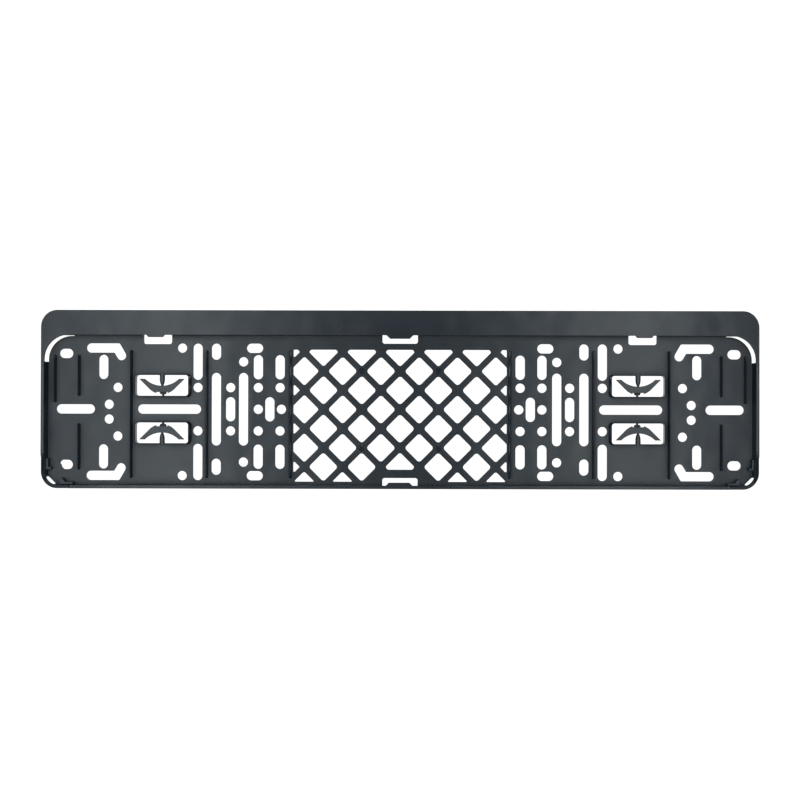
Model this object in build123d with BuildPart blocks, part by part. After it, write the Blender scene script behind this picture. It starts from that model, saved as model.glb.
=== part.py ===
from build123d import *
from math import atan, cos, degrees, radians, sin, sqrt, tan
import os

# Number plate holder: one injection moulding, screwed to a car, that takes a number plate from the front.
# X runs along the plate and Z up it. The front looks towards -Y, and the flat back lies on Y = 0.
# The origin is on the back, where the centre line crosses the middle row of screw slots.
# Heights above the back are called depths here: they grow towards the front.

# Number plate and the pocket that takes it
plate_length = 520.0
plate_height = 110.0
end_play = 2.8  # from each end of the plate to the side wall
edge_play = 0.4  # from each long edge of the plate to the wall beside it
row_rise = 0.6  # middle screw row above the middle of the pocket
pocket_depth = 8.0

# Walls of the moulding
base_thickness = 2.0
side_wall = 2.2
foot_wall = 2.5
outer_radius = 12.2
pocket_radius = 9.5
edge_bevel = 0.6  # front outer edge

# Broad bar along the top, hollow at the back
bar_height = 18.3
bar_skin = 2.0
bar_wall = 2.0
bar_rib_thickness = 1.4
bar_rib_spacing = 48.0
bar_rib_count = 11
bar_rib_recess = 1.0  # back edge of each rib below the back face

# Web across each upper corner of the pocket, with the base and the side wall cut away behind it
web_radius = 18.0
web_thickness = 1.6
web_strip = 0.6  # straight strip between the end of the arc and the side wall
web_gap = 0.5  # from the bar to the edge of the base
web_side_gap = 0.8  # from the side wall to the edge of the base
web_slit_tail = 1.8  # how far the slit runs straight on past each end of the arc
web_port = 14.0  # height of the port through the side wall

# Lower front edge of the rim round the two bottom corners
corner_drop = 2.2
corner_drop_side = 24.0  # up the side from the outside of the foot wall
corner_drop_foot = 20.0  # along the foot from the outside of the side wall

# Retaining lips: width at the tip, width at the wall, reach over the plate
lip_thickness = 1.6
lip_window_round = 1.7
lip_wall_cut = 0.8  # how far each window goes into the wall that carries the lip
side_lip_inset = 82.6  # in from the pocket's end wall
side_lip_tip = 10.8
side_lip_root = 13.6
side_lip_reach = 1.7
side_lip_window = 21.0  # opening cut in the base in front of the lip
side_lip_window_depth = 6.4
top_lip_tip = 14.6
top_lip_root = 19.8
top_lip_reach = 2.6
top_lip_window = 26.3
top_lip_window_depth = 5.8
foot_lip_tip = 16.1
foot_lip_root = 20.3
foot_lip_reach = 2.2
foot_lip_window = 26.2
foot_lip_window_depth = 5.1
foot_lip_land = 6.2  # solid strip between the foot lip's window and the lattice

# Diamond lattice in the middle
lattice_pitch = 28.5  # between neighbouring diamonds, along X and along Z
diamond_side = 15.4
diamond_flat = 2.1  # width of the flat across each corner, where the moulding is rounded
lattice_end_inset = 183.5  # in from the pocket's end wall
lattice_top_inset = 10.4  # down from the bar
lattice_foot_inset = 2.3  # up from the foot wall

# Screw holes and slots, all of one width. Columns are set in from the pocket's end walls.
screw_width = 6.9
end_flats = 6  # flats on each round end of a spare slot or hole
low_row = -2.0  # second middle row, which the outer patterns are set out from
column_a_mid = 174.5
column_a = 173.5
column_b = 165.9
column_c = 157.3
column_c_edge = 154.8
column_d = 146.3
column_e = 136.7
column_f = 126.1
column_g = 112.4
column_h = 100.8
column_j = 91.3
column_k = 52.8
column_l = 46.3
column_m = 42.2
column_n = 21.5
column_p = 14.5
bent_slot_outer = 33.0  # column of the round outer end
bent_slot_bend = 52.1
bent_slot_arm = 6.5
bent_slot_angle = 60.0

# Rows: a reach is measured from a middle row, an inset from half the plate's height
reach_l = 5.5
reach_near = 16.1
reach_k = 18.1
reach_far = 37.3
reach_upright = 24.3  # inner ends of the upright slots
reach_long_upright = 23.8
edge_inset = 7.6
stub_inset = 12.2
corner_inset = 13.7
upright_inset = 12.7  # outer ends of the upright slots
long_upright_inset = 4.2
slot_stub = 12.0
slot_short = 18.0
slot_tall = 54.0
slot_long = 47.0
slot_end = 28.5
slot_corner = 10.0

# Ribs on the front of the base
rib_root = 2.0
rib_crest = 0.4
rib_height = 4.0
rib_top_inset = 11.0
rib_foot_inset = 4.7
rib_columns = (181.2, 119.4, 63.1)
end_rib_column = 24.1
end_rib_upper = 9.6  # lower end of the upper rib
end_rib_lower = -10.4  # upper end of the lower rib
end_rib_top_inset = 14.5
end_rib_foot_inset = 10.8
rim_rib_column = 6.3
rim_rib_bottom = 4.8

# Plate springs: a gull wing on a stem in a window with a raised collar
spring_column = 85.9
spring_row = 17.6
window_width = 38.6
window_height = 15.8
window_corner = 1.4  # flat across each corner of the window
collar_root = 1.4
wing_tip_height = 4.9  # above the middle of the window
wing_tip_inner = 13.05
wing_tip_outer = 16.7
wing_hollow = -0.35
wing_belly = -5.8
wing_leg_angle = 45.0
wing_thickness = 1.2
wing_lift = 1.8  # back of the wing above the base, at its middle
wing_bow = 1.4  # tips further forward than the middle
notch_width = 8.5
notch_depth = 1.4
hub_width = 4.8
hub_height = 1.8
stem_width = 1.0
stem_seat = 1.0  # how far the stem runs into the base
fin_root_width = 3.7
fin_root_crest = 1.5
fin_tip_width = 1.5
fin_tip_crest = 0.4
fin_tip_rise = 2.0  # crest above the base at the hub
fin_seat = 1.7  # how far the fin runs out over the collar

# Hooks and drain slots at the bottom corners
hook_thickness = 1.3
hook_height = 4.0
hook_gap = 0.5
hook_length = 8.0
hook_foot = 4.8
side_hook_bottom = 13.9  # foot of the side hook above the outside of the foot wall
foot_hook_outer = 13.0  # outer end of the foot hook inside the outside of the side wall
drain_length = 8.3
drain_inner = 8.6  # inner edge from the middle of the corner's arc
drain_strip = 1.6  # rim left in front of each slot
drain_turn = 45.0  # from level

# Sizes that follow
total_depth = base_thickness + pocket_depth
pocket_half = plate_length / 2 + end_play
pocket_top = plate_height / 2 + edge_play - row_rise
pocket_bottom = -plate_height / 2 - edge_play - row_rise
outer_half = pocket_half + side_wall
outer_top = pocket_top + bar_height
outer_bottom = pocket_bottom - foot_wall
pocket_middle = (pocket_top + pocket_bottom) / 2
web_x = pocket_half - web_strip - web_radius
web_z = pocket_top - web_radius
lattice_half_width = pocket_half - lattice_end_inset
lattice_top = pocket_top - lattice_top_inset
lattice_bottom = pocket_bottom + lattice_foot_inset
spring_place = pocket_half - spring_column
reach_edge = plate_height / 2 - edge_inset
reach_stub = plate_height / 2 - stub_inset
reach_corner = plate_height / 2 - corner_inset

BACK = Plane.XZ
BASE_FRONT = Plane.XZ.offset(base_thickness)
FRONT = Plane.XZ.offset(total_depth)


def both_ends(column, *heights):
    """Points at both ends of the holder, a column's distance in from the end walls, at each height."""
    return [(side * (pocket_half - column), z) for side in (-1, 1) for z in heights]


def either_side(x, z):
    """Two points at one height, the same distance left and right of a middle."""
    return (-x, z), (x, z)


def about(row, reach):
    """Heights the same distance above and below a row."""
    return row + reach, row - reach


def slot_to_edge(column, reach, inset):
    """Length and middles of upright slots from a reach off the low row towards the plate's edges."""
    far_end = plate_height / 2 - inset
    return far_end - reach, both_ends(column, *about(low_row, (far_end + reach) / 2))


def block(x_low, x_high, z_low, z_high):
    """Rectangle between two values of X and two of Z, in the sketch being made."""
    with Locations(((x_low + x_high) / 2, (z_low + z_high) / 2)):
        Rectangle(x_high - x_low, z_high - z_low)


def trapezoid_lip(x, wall, direction, root, tip, reach):
    """Outline of a lip that narrows from the wall to its tip, with its root sunk into the wall."""
    sink = wall - direction * foot_wall / 2
    edge = wall + direction * reach
    Polygon(
        (x - root / 2, sink), (x - root / 2, wall), (x - tip / 2, edge),
        (x + tip / 2, edge), (x + root / 2, wall), (x + root / 2, sink),
    )


def round_end(middle, heading):
    """Corners of a round end with a few flats, about a middle point, facing along a heading in radians."""
    turn = radians(180 / end_flats)
    reach = screw_width / 2 / cos(turn / 2)
    angles = [heading + (flat + 0.5) * turn - radians(90) for flat in range(end_flats)]
    return [(middle[0] + reach * cos(angle), middle[1] + reach * sin(angle)) for angle in angles]


def bent_slot(side, up):
    """Slot with a level outer stretch and an arm that leans towards the middle of the holder."""
    lean = radians(bent_slot_angle)
    bend = pocket_half - bent_slot_bend
    arm = (bend - bent_slot_arm * cos(lean), -bent_slot_arm * sin(lean))
    fold = screw_width / 2 * tan(lean / 2)
    outline = (
        *round_end((pocket_half - bent_slot_outer, 0), 0),
        (bend - fold, screw_width / 2),
        *round_end(arm, radians(180) + lean),
        (bend + fold, -screw_width / 2),
    )
    level = low_row + up * reach_edge
    Polygon(*((side * x, level + up * z) for x, z in outline))


def few_sided_slot(length, rotation=0):
    """Slot whose round ends have a few flats each, clear of the screw. At its least length it is a hole."""
    end = round_end((length / 2 - screw_width / 2, 0), 0)
    Polygon(*end, *((-x, -z) for x, z in end), rotation=rotation)


def diamond_outline():
    """Square standing on one corner, with a small flat across each corner."""
    flat = diamond_flat / 2
    tip = diamond_side / 2 * sqrt(2) - flat
    upper = (tip, flat), (flat, tip), (-flat, tip), (-tip, flat)
    return *upper, *((-x, -z) for x, z in upper)


def draft(run, height):
    """Angle, in degrees, of a side that leans inwards by a run over a height."""
    return degrees(atan(run / height))


def lattice_centres():
    """Middles of the diamonds: two square grids, set half a pitch apart both ways."""
    half = lattice_pitch / 2
    columns = int(lattice_half_width / half) + 1
    rows = int(max(lattice_top, -lattice_bottom) / half) + 1
    for column in range(-columns, columns + 1):
        for row in range(-rows, rows + 1):
            foot_lip_clear = row * half > lattice_bottom or abs(column * half) > half + foot_lip_window / 2
            if (column + row) % 2 and foot_lip_clear:
                yield column * half, row * half


# One plate spring in the upper right window, then its three mirror images
with BuildPart() as springs:
    leg = radians(wing_leg_angle)
    belly_radius = (wing_belly - wing_tip_height + wing_tip_outer * tan(leg)) / (1 / cos(leg) - 1)
    belly_x = belly_radius * sin(leg)
    belly_z = wing_belly + belly_radius * (1 - cos(leg))
    inner_tips = either_side(wing_tip_inner, wing_tip_height)
    outer_tips = either_side(wing_tip_outer, wing_tip_height)
    leg_feet = either_side(belly_x, belly_z)
    wing_plane = Plane.XZ.offset(base_thickness).shift_origin((spring_place, -base_thickness, spring_row))
    with BuildSketch(wing_plane):
        with BuildLine():
            ThreePointArc(inner_tips[0], (0, wing_hollow), inner_tips[1])
            Polyline(inner_tips[1], outer_tips[1], leg_feet[1])
            ThreePointArc(leg_feet[1], (0, wing_belly), leg_feet[0])
            Polyline(leg_feet[0], outer_tips[0], inner_tips[0])
        make_face()
        with Locations((0, wing_belly + notch_depth / 2)):
            Rectangle(notch_width, notch_depth, mode=Mode.SUBTRACT)
    extrude(amount=pocket_depth)
    # The leaf is what the bowed sheet keeps of that outline
    with BuildSketch(Plane.XY.offset(spring_row)):
        with BuildLine():
            left = spring_place - wing_tip_outer
            right = spring_place + wing_tip_outer
            back = -base_thickness - wing_lift
            front = back - wing_thickness
            ThreePointArc((left, back - wing_bow), (spring_place, back), (right, back - wing_bow))
            Line((right, back - wing_bow), (right, front - wing_bow))
            ThreePointArc((right, front - wing_bow), (spring_place, front), (left, front - wing_bow))
            Line((left, front - wing_bow), (left, back - wing_bow))
        make_face()
    extrude(amount=window_height / 2, both=True, mode=Mode.INTERSECT)
    # Fin from the far edge of the window, under the wing, to the hub
    hub_top = wing_belly + notch_depth
    hub_bottom = hub_top - hub_height
    fin_ends = (
        (window_height / 2 + fin_seat, fin_root_width, fin_root_crest, base_thickness + rib_height),
        (hub_top - hub_height / 2, fin_tip_width, fin_tip_crest, base_thickness + fin_tip_rise),
    )
    for height, width, crest, top in fin_ends:
        with BuildSketch(Plane.XY.offset(spring_row + height)):
            with BuildLine():
                Polyline(
                    (spring_place - width / 2, 0), (spring_place - crest / 2, -top),
                    (spring_place + crest / 2, -top), (spring_place + width / 2, 0), close=True,
                )
            make_face()
    loft()
    with BuildSketch(BACK):
        block(
            spring_place - hub_width / 2, spring_place + hub_width / 2,
            spring_row + hub_bottom, spring_row + hub_top,
        )
        block(
            spring_place - stem_width / 2, spring_place + stem_width / 2,
            spring_row - window_height / 2 - stem_seat, spring_row + hub_top,
        )
    extrude(amount=base_thickness)
    mirror(about=Plane.XY)
    mirror(about=Plane.YZ)

with BuildPart() as holder:
    # Outer block with a bevelled front edge
    with BuildSketch(BACK):
        with Locations((0, (outer_top + outer_bottom) / 2)):
            RectangleRounded(2 * outer_half, outer_top - outer_bottom, outer_radius)
    extrude(amount=total_depth)
    chamfer(holder.faces().sort_by(Axis.Y)[0].edges(), edge_bevel)

    # Pocket for the plate
    with BuildSketch(BASE_FRONT):
        with Locations((0, pocket_middle)):
            RectangleRounded(2 * pocket_half, pocket_top - pocket_bottom, pocket_radius)
    extrude(amount=pocket_depth, mode=Mode.SUBTRACT)

    # Hollow back of the bar, with cross ribs
    with BuildSketch(BACK):
        bar_low = pocket_top + bar_wall
        bar_high = outer_top - bar_wall
        with Locations((0, (bar_low + bar_high) / 2)):
            Rectangle(2 * pocket_half, bar_high - bar_low)
        with Locations((0, outer_top - side_wall - (outer_top - outer_bottom) / 2)):
            RectangleRounded(2 * pocket_half, outer_top - outer_bottom, pocket_radius, mode=Mode.INTERSECT)
        with Locations((0, (bar_low + bar_high) / 2)):
            with GridLocations(bar_rib_spacing, 1, bar_rib_count, 1):
                Rectangle(bar_rib_thickness, bar_height, mode=Mode.SUBTRACT)
    extrude(amount=total_depth - bar_skin, mode=Mode.SUBTRACT)
    with BuildSketch(BACK):
        with Locations((0, (bar_low + bar_high) / 2)):
            with GridLocations(bar_rib_spacing, 1, bar_rib_count, 1):
                Rectangle(bar_rib_thickness, bar_high - bar_low)
    extrude(amount=bar_rib_recess, mode=Mode.SUBTRACT)

    # Front webs across the upper corners of the pocket, with a slit and a port cut away behind them
    slit_foot = web_z - web_slit_tail
    with BuildSketch(FRONT):
        for side in (-1, 1):
            block(*sorted((side * web_x, side * pocket_half)), slit_foot, pocket_top)
        with Locations((0, pocket_middle)):
            RectangleRounded(
                2 * (pocket_half - web_strip), pocket_top - pocket_bottom, web_radius, mode=Mode.SUBTRACT
            )
    extrude(amount=-web_thickness)
    with BuildSketch(BACK):
        for side in (-1, 1):
            block(*sorted((side * (web_x - web_slit_tail), side * pocket_half)), slit_foot, pocket_top)
        with Locations((0, pocket_middle)):
            RectangleRounded(
                2 * pocket_half, pocket_top - pocket_bottom, pocket_radius, mode=Mode.INTERSECT
            )
        for side in (-1, 1):
            block(*sorted((side * web_x, side * (outer_half + side_wall))), slit_foot, slit_foot + web_port)
        with Locations((0, pocket_middle)):
            RectangleRounded(
                2 * (pocket_half - web_side_gap), pocket_top - pocket_bottom - 2 * web_gap,
                web_radius - web_gap, mode=Mode.SUBTRACT,
            )
    extrude(amount=total_depth - web_thickness, mode=Mode.SUBTRACT)

    # Lower rim round the bottom corners
    with BuildSketch(FRONT):
        for side in (-1, 1):
            block(
                *sorted((side * (outer_half - corner_drop_foot), side * (outer_half + side_wall))),
                outer_bottom - foot_wall, outer_bottom + corner_drop_side,
            )
    extrude(amount=-corner_drop, mode=Mode.SUBTRACT)

    # Collars round the spring windows, and ribs, all with sloping sides
    window_middles = both_ends(spring_column, *about(0, spring_row))
    with BuildSketch(BASE_FRONT) as collars:
        with Locations(*window_middles):
            Rectangle(window_width + 2 * collar_root, window_height + 2 * collar_root)
        chamfer(collars.vertices(), window_corner + collar_root * (2 - sqrt(2)))
    extrude(amount=rib_height, taper=draft(collar_root - rib_crest, rib_height))
    ribs = (
        *((column, pocket_bottom + rib_foot_inset, pocket_top - rib_top_inset) for column in rib_columns),
        (end_rib_column, end_rib_upper, pocket_top - end_rib_top_inset),
        (end_rib_column, pocket_bottom + end_rib_foot_inset, end_rib_lower),
        (rim_rib_column, rim_rib_bottom, pocket_top - end_rib_top_inset),
    )
    with BuildSketch(BASE_FRONT):
        for column, low, high in ribs:
            with Locations(*both_ends(column, (low + high) / 2)):
                Rectangle(rib_root, high - low)
    extrude(amount=rib_height, taper=draft((rib_root - rib_crest) / 2, rib_height))

    # Screw holes and slots: the main fixings are true rounds, the spare places have a few flats
    fixing_holes = (
        *both_ends(column_c, *about(0, reach_near)),
        *both_ends(column_g, *about(0, reach_near)),
        *both_ends(column_h, *about(low_row, reach_edge)),
        *both_ends(column_k, *about(low_row, reach_k)),
    )
    spare_holes = (
        *both_ends(column_a_mid, 0),
        *both_ends(column_a, *about(0, reach_near)),
        *both_ends(column_c, 0),
        *both_ends(column_d, *about(low_row, reach_far)),
        *both_ends(column_e, *about(0, reach_near)),
        *both_ends(column_l, *about(low_row, reach_l)),
    )
    upright_slots = (
        (slot_stub, both_ends(column_f, *about(0, reach_stub))),
        (slot_short, both_ends(column_b, 0)),
        (slot_short, both_ends(column_e, 0)),
        (slot_tall, both_ends(column_d, 0)),
        (slot_tall, both_ends(column_f, 0)),
        slot_to_edge(column_a, reach_upright, upright_inset),
        slot_to_edge(column_c, reach_upright, upright_inset),
        slot_to_edge(column_m, reach_upright, upright_inset),
        slot_to_edge(column_g, reach_long_upright, long_upright_inset),
    )
    level_slots = (
        (slot_stub, both_ends(column_c_edge, *about(low_row, reach_edge))),
        (slot_end, both_ends(column_n, 0)),
        (slot_corner, both_ends(column_p, *about(0, reach_corner))),
    )
    with BuildSketch(BACK):
        with Locations(*fixing_holes):
            Circle(screw_width / 2)
        with Locations(*both_ends(column_j, 0)):
            SlotOverall(slot_long, screw_width)
        with Locations(*spare_holes):
            few_sided_slot(screw_width)
        for length, points in upright_slots:
            with Locations(*points):
                few_sided_slot(length, rotation=90)
        for length, points in level_slots:
            with Locations(*points):
                few_sided_slot(length)
        for side in (-1, 1):
            for up in (-1, 1):
                bent_slot(side, up)
    extrude(amount=base_thickness, mode=Mode.SUBTRACT)

    # Spring windows, through the collars as well
    with BuildSketch(BACK) as windows:
        with Locations(*window_middles):
            Rectangle(window_width, window_height)
        chamfer(windows.vertices(), window_corner)
    extrude(amount=base_thickness + rib_height, mode=Mode.SUBTRACT)
    add(springs.part)

    # Diamond lattice, cut off square at its edges and above the foot lip's window
    foot_window_top = pocket_bottom + foot_lip_window_depth
    with BuildSketch(BACK):
        with Locations(*lattice_centres()):
            Polygon(*diamond_outline())
        with Locations((0, (lattice_top + lattice_bottom) / 2)):
            Rectangle(2 * lattice_half_width, lattice_top - lattice_bottom, mode=Mode.INTERSECT)
        with Locations((0, foot_window_top + foot_lip_land - lattice_pitch / 2)):
            Rectangle(foot_lip_window, lattice_pitch, mode=Mode.SUBTRACT)
    extrude(amount=base_thickness, mode=Mode.SUBTRACT)

    # Windows behind the lips, rounded at their inner corners, then the lips
    side_lip_place = pocket_half - side_lip_inset
    top_lips = (
        (-side_lip_place, side_lip_root, side_lip_tip, side_lip_reach),
        (0, top_lip_root, top_lip_tip, top_lip_reach),
        (side_lip_place, side_lip_root, side_lip_tip, side_lip_reach),
    )
    with BuildSketch(BACK):
        with Locations((-side_lip_place, pocket_top), (side_lip_place, pocket_top)):
            RectangleRounded(side_lip_window, 2 * side_lip_window_depth, lip_window_round)
        with Locations((0, pocket_top)):
            RectangleRounded(top_lip_window, 2 * top_lip_window_depth, lip_window_round)
        with Locations((0, pocket_bottom)):
            RectangleRounded(foot_lip_window, 2 * foot_lip_window_depth, lip_window_round)
        with Locations((0, pocket_middle)):
            Rectangle(2 * pocket_half, pocket_top - pocket_bottom + 2 * lip_wall_cut, mode=Mode.INTERSECT)
    extrude(amount=total_depth - lip_thickness, mode=Mode.SUBTRACT)
    with BuildSketch(FRONT):
        for x, root, tip, reach in top_lips:
            trapezoid_lip(x, pocket_top, -1, root, tip, reach)
        trapezoid_lip(0, pocket_bottom, 1, foot_lip_root, foot_lip_tip, foot_lip_reach)
    extrude(amount=-lip_thickness)

    # Hooks at the bottom corners: an arm along the wall with a short foot at the end towards the corner
    with BuildSketch(BASE_FRONT):
        for side in (-1, 1):
            outer = side * (pocket_half - hook_gap)
            low = outer_bottom + side_hook_bottom
            block(*sorted((outer, outer - side * hook_thickness)), low, low + hook_length)
            block(*sorted((outer, outer - side * hook_foot)), low, low + hook_thickness)
            outer = side * (outer_half - foot_hook_outer)
            low = pocket_bottom + hook_gap
            block(*sorted((outer, outer - side * hook_length)), low, low + hook_thickness)
            block(*sorted((outer, outer - side * hook_thickness)), low, low + hook_foot)
    extrude(amount=hook_height)

    # Drain slots across the bottom corners, open to the outside behind a strip of the rim
    with BuildSketch(BACK):
        for side in (-1, 1):
            middle = (drain_inner + outer_radius + foot_wall) / 2
            x = outer_half - outer_radius + middle * sin(radians(drain_turn))
            z = outer_bottom + outer_radius - middle * cos(radians(drain_turn))
            with Locations((side * x, z)):
                Rectangle(drain_length, outer_radius + foot_wall - drain_inner, rotation=side * drain_turn)
    extrude(amount=total_depth - corner_drop - drain_strip, mode=Mode.SUBTRACT)

holder.part.label = "plate_holder"

os.makedirs("parts", exist_ok=True)
export_step(holder.part, "parts/plate_holder.step")
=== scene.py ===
import bpy
import numpy as np
from mathutils import Euler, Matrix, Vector
from mathutils.geometry import delaunay_2d_cdt


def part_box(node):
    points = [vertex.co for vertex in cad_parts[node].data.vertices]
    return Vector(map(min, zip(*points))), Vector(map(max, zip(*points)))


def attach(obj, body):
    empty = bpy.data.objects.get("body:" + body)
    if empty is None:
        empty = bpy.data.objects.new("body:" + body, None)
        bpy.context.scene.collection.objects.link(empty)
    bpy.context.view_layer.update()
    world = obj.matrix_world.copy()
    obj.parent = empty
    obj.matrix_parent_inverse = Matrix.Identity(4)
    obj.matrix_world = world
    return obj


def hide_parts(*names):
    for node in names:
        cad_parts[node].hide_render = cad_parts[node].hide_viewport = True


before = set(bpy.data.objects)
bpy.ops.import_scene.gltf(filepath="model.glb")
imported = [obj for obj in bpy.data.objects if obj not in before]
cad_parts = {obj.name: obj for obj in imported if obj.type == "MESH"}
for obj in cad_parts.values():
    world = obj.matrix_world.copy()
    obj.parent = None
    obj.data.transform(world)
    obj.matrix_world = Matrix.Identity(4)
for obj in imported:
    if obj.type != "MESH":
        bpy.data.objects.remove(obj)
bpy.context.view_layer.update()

# The moulding is worked out in millimetres. X runs along the plate, Z up it, and a depth is measured
# forwards from the flat back, so a point lies at Y = -depth. A column is a distance in from the pocket's
# end wall.
MM = 0.001
box_low, box_high = (np.array(corner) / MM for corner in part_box("plate_holder"))
OUTER_HALF = box_high[0]
OUTER_TOP = box_high[2]
OUTER_BOTTOM = box_low[2]
FRONT = -box_low[1]

# Base, walls and bar
BASE = 2.0
SIDE_WALL = 2.2
FOOT_WALL = 2.5
BAR_HEIGHT = 18.3
BAR_WALL = 2.0
BAR_SKIN = 2.0
OUTER_RADIUS = 12.2
POCKET_RADIUS = 9.5
HOLLOW_RADIUS = 0.8
POCKET_HALF = OUTER_HALF - SIDE_WALL
POCKET_TOP = OUTER_TOP - BAR_HEIGHT
POCKET_BOTTOM = OUTER_BOTTOM + FOOT_WALL
PLATE_HALF_HEIGHT = 55.0

# Small rounds of the moulding. A fillet is steps of distance in from the wall and distance from the face.
OUTER_ROUND = 0.5
POCKET_ROUND = 0.2
HOLE_ROUND = 0.25
PART_ROUND = 0.2
ROUND_MIDDLE = 0.3  # a share of the radius, across and down, at the middle of a small round
FLOOR_FILLET = ((0, 0.4), (0.1, 0.12), (0.35, 0))
ROOF_FILLET = ((0.7, 0), (0.35, 0.15), (0.2, 0.5))

# How far a standing piece runs into the body, and how a cutter starts and ends outside it
SEAT = 0.5
CUTTER_BACK = -1.0
CUTTER_PAST = 2.0
CUTTER_ROUND = 0.05

# Rim: softer at the ends of the holder, leaning inwards, and lower round the two bottom corners
END_ACROSS = 0.4
END_DOWN = 0.9
END_EDGE = 0.35
END_DRAFT = 1.2
RIM_LEAN = 0.25
RIM_STEP = 1.5
CORNER_DROP = 1.0
CORNER_DROP_SIDE = 24.6
CORNER_DROP_FOOT = 22.0
CORNER_LEAN_FOOT = 0.8
CORNER_LEAN_SIDE = 2.4

# Webs across the upper corners
WEB_RADIUS = 18.0
WEB_STRIP = 0.6
WEB_SEAT = 1.2
WEB_GAP = 0.5
WEB_SIDE_GAP = 1.5
WEB_TAIL = 1.8
WEB_PORT = 14.0
WEB_X = POCKET_HALF - WEB_STRIP - WEB_RADIUS
WEB_Z = POCKET_TOP - WEB_RADIUS
WEB_FOOT = WEB_Z - WEB_TAIL

# Screw holes and slots: column, row, reach above and below the row, and a slot's length
SCREW_WIDTH = 6.9
SCREW_HALF = SCREW_WIDTH / 2
LOW_ROW = -2.0
EDGE_REACH = PLATE_HALF_HEIGHT - 7.6
ROUND_HOLES = (
    (173.5, 0, 16.1), (157.3, 0, 16.1), (136.7, 0, 16.1), (112.4, 0, 16.1), (146.3, LOW_ROW, 37.3),
    (100.8, LOW_ROW, EDGE_REACH), (52.8, LOW_ROW, 18.1), (46.3, LOW_ROW, 5.5), (174.5, 0, 0), (157.3, 0, 0),
)
UPRIGHT_SLOTS = (
    (126.1, 0, PLATE_HALF_HEIGHT - 12.2, 12.0), (173.5, LOW_ROW, 33.3, 18.0),
    (157.3, LOW_ROW, 33.3, 18.0), (42.2, LOW_ROW, 33.3, 18.0), (112.4, LOW_ROW, 37.3, 27.0),
    (165.9, 0, 0, 18.0), (136.7, 0, 0, 18.0), (146.3, 0, 0, 54.0), (126.1, 0, 0, 54.0),
)
LEVEL_SLOTS = ((91.3, 0, 0, 47.0), (21.5, 0, 0, 28.5), (154.8, LOW_ROW, EDGE_REACH, 12.0))

# Bent slots: columns of the bend and of the outer end, and the arm that leans from the bend
BEND_COLUMN = 52.1
BENT_END_COLUMN = 33.0
BENT_ARM = 6.5
BENT_ARM_LEAN = 60.0
BEND_INSIDE = 0.6
BEND_OUTSIDE = 1.6

# Slots at the four corners. One of them has an uneven end: X, Z and radius of its corners about its middle.
CORNER_SLOT_X = POCKET_HALF - 14.5
CORNER_SLOT_Z = PLATE_HALF_HEIGHT - 13.7
CORNER_SLOT_LENGTH = 10.0
FLAWED_SLOT = (
    (5.0, -SCREW_HALF, SCREW_HALF), (5.0, SCREW_HALF, SCREW_HALF), (-2.4, SCREW_HALF, 0.6),
    (-3.8, 2.35, 0.6), (-4.5, 1.1, 0.5), (-3.5, -0.2, 0.5), (-3.15, -1.7, 0.5), (-1.55, -SCREW_HALF, 0.6),
)

# Lattice of diamonds in the middle, and the window of the lip at its foot
LATTICE_PITCH = 28.5
LATTICE_HALF = POCKET_HALF - 183.5
LATTICE_TOP = POCKET_TOP - 10.4
LATTICE_BOTTOM = POCKET_BOTTOM + 2.3
LATTICE_COLUMNS = range(-6, 7)
LATTICE_ROWS = range(-4, 5)
DIAMOND_SIDE = 15.4
DIAMOND_ROUND = 2.1
CUT_DIAMOND_ROUND = 1.6
NARROW_DIAMOND = 6.0
NARROW_DIAMOND_ROUND = 0.7
DIAMOND_FOOT_ROUND = 0.5
FOOT_LIP_WINDOW = (26.2, 5.1)
FOOT_LIP_LAND = 6.2

# Ribs on the base: column, lower end and upper end
RIB_HEIGHT = 4.0
RIB_ROOT = 2.4
RIB_CREST = 0.4
RIB_SHOULDER = (0.12, 0.15)
RIBS = (
    *((column, POCKET_BOTTOM + 4.7, POCKET_TOP - 11.0) for column in (181.3, 119.1, 62.9)),
    (24.1, 9.6, POCKET_TOP - 14.5), (24.1, POCKET_BOTTOM + 10.8, -10.4), (6.3, 4.8, POCKET_TOP - 14.5),
)

# Cross ribs in the hollow of the bar
BAR_RIBS = range(-5, 6)
BAR_RIB_SPACING = 48.0
BAR_RIB_THICKNESS = 1.4
BAR_RIB_RECESS = 1.0

# Windows of the springs and the collars round them. The crest is shares of its width, and drops.
SPRING_X = POCKET_HALF - 85.9
SPRING_ROW = 17.6
WINDOW = (39.0, 15.35)
WINDOW_X = SPRING_X - 0.5
WINDOW_ROUND = 2.0
WINDOW_TOP = SPRING_ROW + WINDOW[1] / 2
COLLAR_ROOT = 0.55
COLLAR_INNER_ROOT = 1.9
COLLAR_FILLET = (0.1, 0.08)
COLLAR_SHOULDER = (0.04, 0.2)
COLLAR_CREST = ((0.8, 0.05), (0.5, 0), (0.2, 0.05))

# Wings of the springs, about their own middle and the spring's row
WING_X = SPRING_X - 0.27
WING_TIP_Z = 4.9
WING_TIP_INNER = 12.6
WING_TIP_OUTER = 16.85
WING_HOLLOW = -0.2
WING_BELLY = -6.45
WING_BACK = BASE + 1.2
WING_THICKNESS = 1.2
WING_BOW = 0.3
WING_STEP = 1.0
NOTCH = (8.5, 1.5)

# Fins of the springs, and the gap in the collar that each one passes through
FIN_ROOT = 1.7
FIN_HALF = 1.98
FIN_NOSE = 5.2
FIN_NARROW = 0.95
FIN_BEVEL = 0.95
FIN_BACK = 1.0
FIN_EDGE = 1.5
FIN_TOP = 2.5
FIN_RINGS = 30
FIN_BACK_SHARE = 0.75
FIN_CREST_LEAST = 0.3
FIN_CREST_SHARE = 0.85
FIN_CREST_DROP = 0.05
FIN_INTO_WING = 0.37
FIN_GAP_MIDDLE = 0.45
FIN_GAP_LENGTH = 1.3
FIN_GAP_PLAY = 0.5
FIN_GAP_FLOOR = 0.02

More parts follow.
